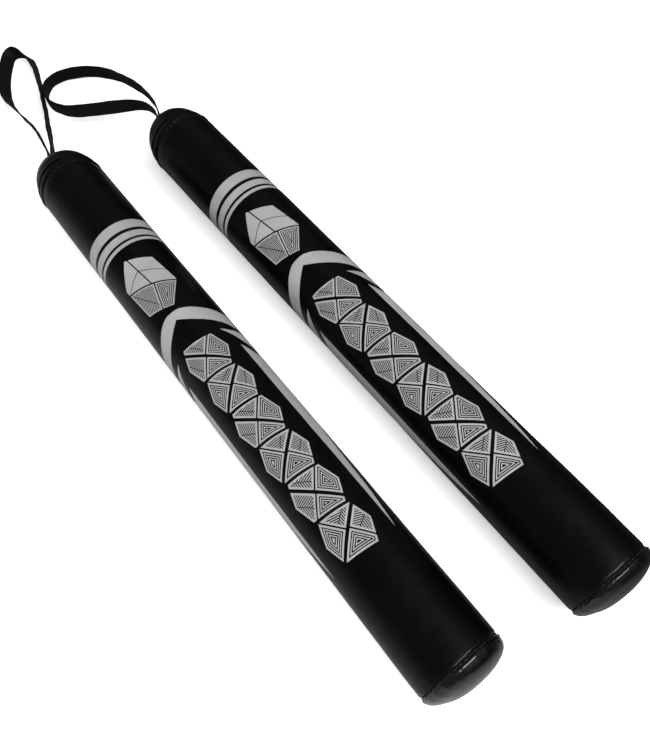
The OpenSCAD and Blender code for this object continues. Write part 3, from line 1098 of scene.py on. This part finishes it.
def build_flashes(stick):
    """Short flash and long blade on each side of the middle line."""
    flash = smooth_edge(FLASH_BUTT_EDGE) + smooth_edge(FLASH_TIP_EDGE)[:0:-1]
    blade = smooth_edge(BLADE_CURVE) + BLADE_BASE
    motifs = [[[flattened(shape, sign)]] for shape in (flash, blade) for sign in (1, -1)]
    add_print(stick, "flashes", motifs)


def build_gem(stick):
    """A cut gem, solid towards the butt and lined towards the tip."""
    butt_half, tip_half = split(GEM, (211.0, 0.5), (0.38, 1.0), gap=1.5)
    motifs = []
    for piece, lean in zip(split(butt_half, (196.0, 1.0), (1.0, 0.12), gap=1.1), (1.0, -1.0)):
        motifs += [[[sub]] for sub in split(piece, (193.0, 0.0), (0.55, lean), gap=0.7)]
    for piece, spine in zip(split(tip_half, (222.0, 2.0), (1.0, -0.28), gap=1.1), (None, 0.5)):
        motifs.append(facet(piece, spine, border=1.2, line=0.7, pitch=1.5))
    add_print(stick, "gem", motifs)


def build_lozenges(stick):
    """Band of cut lozenges down the middle line."""
    rng = random.Random(41)
    start, end = LOZENGE_SPAN
    pitch = (end - start) / LOZENGE_COUNT
    lean = 1.2
    motifs = []
    for k in range(LOZENGE_COUNT):
        middle = start + pitch * (k + 0.5)
        up = k % 2 == 0
        tile = [
            (middle - pitch * 0.47 - lean, -11.8), (middle - pitch * 0.05, -18.8),
            (middle + pitch * 0.42, -13.8), (middle + pitch * 0.47 + lean, 13.0),
            (middle + pitch * 0.03, 20.4), (middle - pitch * 0.43, 14.6),
        ]
        pieces = []
        for half in split(tile, (middle, 0.8), (0.95, 1.0 if up else -1.0), gap=2.6):
            centre = np.mean(np.asarray(half), 0)
            pieces += split(half, centre, (1.0, -0.75 if up else 0.8), gap=1.2)
        for j, piece in enumerate(pieces):
            spine = None
            if (j + k) % 2:
                spine = rng.uniform(0.3, 1.2) * (1 if up else -1)
            motifs.append(facet(piece, spine, border=1.4, line=0.72, pitch=1.55))
    add_print(stick, "lozenges", motifs)


# ---------------------------------------------------------------- wrist loops
# Droop in degrees, and the path of each band outside the stick, in mm and degrees:
# X from the pivot, Y from the stick's axis, band width, lean of the band.
LOOPS = {
    "left": dict(droop=6.4, path=[
        (6, 1.0, 6.8, 0), (0, 1.7, 6.8, 0), (-6, 3.5, 7.2, 0), (-12, 6.0, 8.4, 0),
        (-18, 8.6, 10.0, 0), (-38, 14.6, 14, 0), (-60, 22.0, 15, 1), (-93, 32.2, 15, 1),
        (-130, 43.0, 15, -2), (-163, 51.8, 15, -11), (-189.5, 57.0, 15, -24),
        (-210.4, 58.8, 15, -34), (-226.8, 51.4, 15, 2), (-226.3, 41.6, 15, 40),
        (-204.1, 26.9, 15, 56), (-171.2, 13.7, 15, 46), (-138.7, 6.5, 15, 30),
        (-110.0, 5.8, 15, 18), (-77.2, 7.5, 15, 9), (-55.3, 7.2, 14.6, 0),
        (-33.2, 5.1, 12.4, -8), (-20, 3.3, 9.6, 0), (-12, 1.7, 8.0, 0), (-6, 0.2, 7.2, 0),
        (0, -0.9, 6.8, 0), (6, -1.0, 6.8, 0)]),
    "right": dict(droop=8.0, path=[
        (6, 1.0, 6.8, 0), (0, 1.8, 6.8, 0), (-6, 3.8, 6.8, 0), (-13, 6.5, 7.0, 0),
        (-20, 8.6, 7.6, 0), (-34.3, 12.0, 9.4, -2), (-66.7, 14.3, 14.6, -8),
        (-104.4, 9.6, 15, -11), (-129.6, 1.8, 15, -8), (-152.7, -12.4, 15, -7),
        (-166.8, -31.1, 15, -12), (-169.6, -47.1, 15, -12), (-161.4, -60.0, 15, -5),
        (-146.8, -68.7, 15, 1), (-131.5, -72.2, 15, 3), (-114.6, -71.0, 15, 4),
        (-93.3, -62.7, 15, 5), (-76.9, -45.6, 15, -1), (-59.5, -22.4, 14.6, -3),
        (-45.8, -5.8, 13.4, 3), (-33.8, 2.0, 11.4, 6), (-22, 3.7, 9.0, 0),
        (-13, 3.2, 7.4, 0), (-6, 1.1, 6.8, 0), (0, -0.7, 6.8, 0), (6, -1.0, 6.8, 0)]),
}
# Half of the closed end inside the stick: X from the pivot, Y from the axis
SHANK = [(14, 1.05), (26, 1.15), (38, 1.3), (41.5, 1.38), (44.2, 1.42), (45.8, 1.75),
         (47.2, 2.0), (48.6, 1.45), (49.25, 0.0)]


def strap_curve(stick, droop, path):
    """Even samples of the band's middle line: x, y, z, width, lean; and their distances."""
    hinge_x = stick.butt_x + HINGE
    ring = path + [(x, -y, SHANK_WIDTH, 0) for x, y in SHANK]
    ring += [(x, y, SHANK_WIDTH, 0) for x, y in SHANK[-2::-1]]
    points = []
    for x, y, width, lean in ring:
        # the loop droops from the pivot, and a leaning band sinks to keep its edge low
        sink = (width / 2) * (1 - math.cos(math.radians(lean)))
        z = stick.axis_z + min(x, 0.0) * math.tan(droop) - sink
        points.append((hinge_x + x, stick.axis_y + y, z, width, lean))
    curve = catmull(points, 0.8, closed=True)
    curve = np.vstack([curve, curve[:1]])
    steps = np.linalg.norm(np.diff(curve[:, :3], axis=0), axis=1)
    length = np.concatenate([[0], np.cumsum(steps)])
    count = int(length[-1] / 0.42)
    wanted = np.arange(count) * length[-1] / count
    samples = np.stack([np.interp(wanted, length, curve[:, k]) for k in range(5)], 1)
    # light smoothing keeps the frames steady
    for _ in range(6):
        samples = (np.roll(samples, 1, 0) + 2 * samples + np.roll(samples, -1, 0)) / 4
    return samples, wanted


def strap_section():
    """Across and through parts of the band's section: flat faces with fuller edges."""
    face = np.linspace(-1, 1, 11) * 0.955
    section = [(x, 1.0) for x in face] + [(1.0, 0.45), (1.0, -0.45)]
    section += [(x, -1.0) for x in face[::-1]] + [(-1.0, -0.45), (-1.0, 0.45)]
    return np.array(section).T


def build_webbing(stick, droop, path):
    samples, run = strap_curve(stick, droop, path)
    middle, width, lean = samples[:, :3], samples[:, 3], np.radians(samples[:, 4])
    behind = stick.butt_x + HINGE - middle[:, 0]    # distance from the pivot towards -X
    tangent = unit_rows(np.roll(middle, -1, 0) - np.roll(middle, 1, 0))

    # directions across the band and out of its face
    tilt = np.clip(behind / 8, 0, 1) * droop
    upright = np.stack([-np.sin(tilt), 0 * tilt, np.cos(tilt)], 1)
    upright = unit_rows(upright - tangent * (upright * tangent).sum(1)[:, None])
    wobble = (0.03 * np.sin(run * TAU / 47.0 + stick.seed)
              + 0.02 * np.sin(run * TAU / 19.0 + 2 * stick.seed))
    lean = (lean + wobble * np.clip((behind - 12) / 20, 0, 1))[:, None]
    across_dir = upright * np.cos(lean) + np.cross(tangent, upright) * np.sin(lean)
    face_dir = np.cross(tangent, across_dir)

    # lift whatever would sink into the floor
    lowest = (middle[:, 2] - np.abs(across_dir[:, 2]) * width / 2
              - np.abs(face_dir[:, 2]) * (BAND_T / 2 + 0.1))
    middle[:, 2] += np.maximum(0.0, 0.25 - lowest)

    part_across, part_through = strap_section()
    across = part_across * (width / 2)[:, None]
    half_t = BAND_T / 2 * (0.93 - 0.07 * np.cos(np.abs(part_across) * math.pi))
    zigzag = np.abs((across / 3.6) % 1.0 - 0.5)
    rib = 0.035 * np.abs(np.sin(run[:, None] * TAU / 1.68 + zigzag * TAU * 2))
    rib = np.where(np.abs(part_across) < 0.94, rib, 0.0)
    cup_sign = 1 if stick.side == "left" else -1
    cup = 0.22 * (part_across ** 2 - 0.4) * np.clip((behind - 2) / 10, 0, 1)[:, None] * cup_sign
    through = part_through * (half_t - 0.03) + np.sign(part_through) * rib + cup
    rings = (middle[:, None] + across_dir[:, None] * across[..., None]
             + face_dir[:, None] * through[..., None]) / 1000
    uv = np.stack(np.broadcast_arrays(run[:, None], across), -1).reshape(-1, 2)
    return add_part(stick, "strap_webbing", loft(rings, closed=True), "webbing",
                    "wrist_strap", "strap_tab", smooth_deg=45, uv=uv, rides=False)


def build_bartack(stick, droop, path):
    """Loops of thread through both bands, just behind the pivot."""
    face_gap = 0.8      # from a band's middle line to the thread

    # outer faces of the +Y and -Y bands at x from the pivot
    def plus_face(x):
        return np.interp(-x, [0, 6, 12], [path[k][1] for k in (1, 2, 3)]) + face_gap

    def minus_face(x):
        return np.interp(-x, [0, 6, 12], [path[k][1] for k in (-2, -3, -4)]) - face_gap

    def between(x):
        return (plus_face(x) + minus_face(x)) / 2

    up = np.array([-math.sin(droop), 0, math.cos(droop)])
    threads = []
    for k in range(8):
        stagger = 0.25 if k % 2 else 0
        front, back = -3.4 + stagger, -6.2 + stagger
        waist = front * 0.6 + back * 0.4
        plus_waist = plus_face(front) * 0.6 + plus_face(back) * 0.4
        minus_waist = minus_face(front) * 0.6 + minus_face(back) * 0.4
        curve = catmull([
            (front, plus_face(front) + 0.05), (waist, plus_waist + 0.16),
            (back, plus_face(back) + 0.05), (back - 0.12, between(back)),
            (back, minus_face(back) - 0.05), (waist, minus_waist - 0.16),
            (front, minus_face(front) - 0.05), (front + 0.12, between(front)),
        ], 0.35, closed=True)
        x, y = curve.T
        line = np.stack([stick.butt_x + HINGE + x, stick.axis_y + y,
                         stick.axis_z + x * math.tan(droop) * 0.6], 1) + up * (-2.75 + k * 0.79)
        threads.append(tube(line / 1000, 0.00024, axis=(0, 0, 1), closed=True))
    return add_part(stick, "bartack_thread", join(threads), "thread", "strap_bartack",
                    smooth_deg=60, rides=False)


def build_strap(stick):
    """Webbing from the anchor over to the loop, and its bar tack, each with its placement baked into
    the mesh.
    """
    droop, path = math.radians(LOOPS[stick.side]["droop"]), LOOPS[stick.side]["path"]
    for build in (build_webbing, build_bartack):
        part = build(stick, droop, path)
        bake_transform(part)


# ---------------------------------------------------------------- build both sticks
for stick in [Stick(side, **spec) for side, spec in STICK_SPECS.items()]:
    build_cover(stick)
    build_tip_cap(stick)
    build_butt_cap(stick)
    build_foam_tube(stick)
    build_tip_foam(stick)
    build_butt_foam(stick)
    build_ring_seam(stick, "tip_seam", TIP_SEAM, sink=0.84, count=44, wavy=True)
    build_ring_seam(stick, "butt_seam", BUTT_SEAM, sink=0.62, count=40, wavy=False)
    build_side_seam(stick)
    build_neck_cord(stick)
    build_print_rings(stick)
    build_chevron(stick)
    build_flashes(stick)
    build_gem(stick)
    build_lozenges(stick)
    build_strap(stick)


# ---------------------------------------------------------------- stage, metres
def build_floor():
    """Floor that looks near white to the camera but sends less light back to the sticks."""
    half, level = 5, -0.0004
    mesh = bpy.data.meshes.new("floor")
    corners = [(-half, -half), (half, -half), (half, half), (-half, half)]
    mesh.from_pydata([(x, y, level) for x, y in corners], [], [(0, 1, 2, 3)])
    floor = bpy.data.objects.new("floor", mesh)
    bpy.context.scene.collection.objects.link(floor)

    shader = new_shader("floor_pale")
    seen = shader.is_camera_ray()
    cloud = shader.noise(scale=3.0, detail=2.0)
    across = shader.split_axes(shader.place)[1]
    # the bounce darkens towards +Y
    across = shader.math("MULTIPLY_ADD", across, 2.0, 0.5)
    bounce = shader.ramp(across, (0.3, 0.42), (0.75, 0.035))
    pale = shader.mix(cloud, (0.86, 0.86, 0.86), (0.90, 0.90, 0.90))
    away = shader.add("VectorMath", dict(operation="LENGTH"), Vector=shader.place)
    away = shader.math("MULTIPLY", away.outputs["Value"], 0.25)
    glow = shader.ramp(away, (0.2, 0.45), (0.6, 1.0))
    shader.surface(
        Base_Color=shader.mix(seen, bounce, pale), Roughness=0.9, Specular_IOR_Level=0.0,
        Emission_Color=(1, 1, 1), Emission_Strength=shader.math("MULTIPLY", seen, glow),
    )
    mesh.materials.append(shader.owner)


def build_world():
    """White to the camera; to other rays, a soft studio that differs on the -Y and +Y sides."""
    studio = bpy.data.worlds.new("studio")
    bpy.context.scene.world = studio
    shader = Shader(studio, end="Background", space="Generated")
    _, across, height = shader.split_axes(shader.place)
    # stops are height and brightness
    minus_side = shader.ramp(height, (0.0, 0.30), (0.1, 0.25), (0.22, 0.15), (0.38, 0.14),
                             (0.55, 0.14), (0.8, 0.13), (1.0, 0.13))
    plus_side = shader.ramp(height, (0.0, 0.015), (0.1, 0.02), (0.25, 0.06), (0.4, 0.17),
                            (0.6, 0.15), (0.76, 0.38), (0.88, 0.34), (1.0, 0.14))
    across = shader.math("MULTIPLY_ADD", across, 0.5, 0.5)
    sky = shader.mix(shader.ramp(across, (0.44, 0.0), (0.62, 1.0)), minus_side, plus_side)
    sky = shader.mix(shader.is_camera_ray(), sky, (1.0, 1.0, 1.0))
    shader.surface(Color=sky, Strength=1.0)


# Area lights aimed at the origin: name, place, size, watts, whether gloss reflects it.
# All but the key light the matt parts without leaving streaks on the leather.
LIGHTS = [
    ("key", (1.4, 0.34, 1.88), (1.9, 0.5), 58, True),
    ("top", (0.4, -0.5, 2.4), (2.0, 2.0), 14, False),
    ("fill", (0.1, -2.2, 1.1), (1.6, 1.6), 31, False),
    ("far_fill", (0.0, 2.4, 1.0), (1.6, 1.6), 10, False),
]


def build_lights():
    for name, place, size, power, glossy in LIGHTS:
        light = bpy.data.lights.new(name, "AREA")
        light.shape = "RECTANGLE"
        light.size, light.size_y = size
        light.energy = power
        lamp = bpy.data.objects.new(name, light)
        bpy.context.scene.collection.objects.link(lamp)
        lamp.location = place
        aim = Vector((0.0, 0.0, 0.0)) - Vector(place)
        lamp.rotation_euler = aim.to_track_quat("-Z", "Y").to_euler()
        lamp.visible_glossy = glossy


def build_camera():
    scene = bpy.context.scene
    lens = bpy.data.cameras.new("camera")
    lens.sensor_fit = "AUTO"
    lens.sensor_width = 36.0
    lens.lens = 32.64
    lens.clip_start, lens.clip_end = 0.02, 50
    camera = bpy.data.objects.new("camera", lens)
    scene.collection.objects.link(camera)
    right = Vector((0.605723, 0.794098, -0.050081)).normalized()
    forward = Vector((-0.420172, 0.265779, -0.86765)).normalized()
    up = right.cross(forward).normalized()
    turn = Matrix((right, up, -forward)).transposed().to_4x4()
    camera.matrix_world = Matrix.Translation((0.39294, -0.13787, 0.50287)) @ turn
    scene.camera = camera
    scene.view_settings.view_transform = "Standard"
    scene.view_settings.look = "None"


build_floor()
build_world()
build_lights()
build_camera()
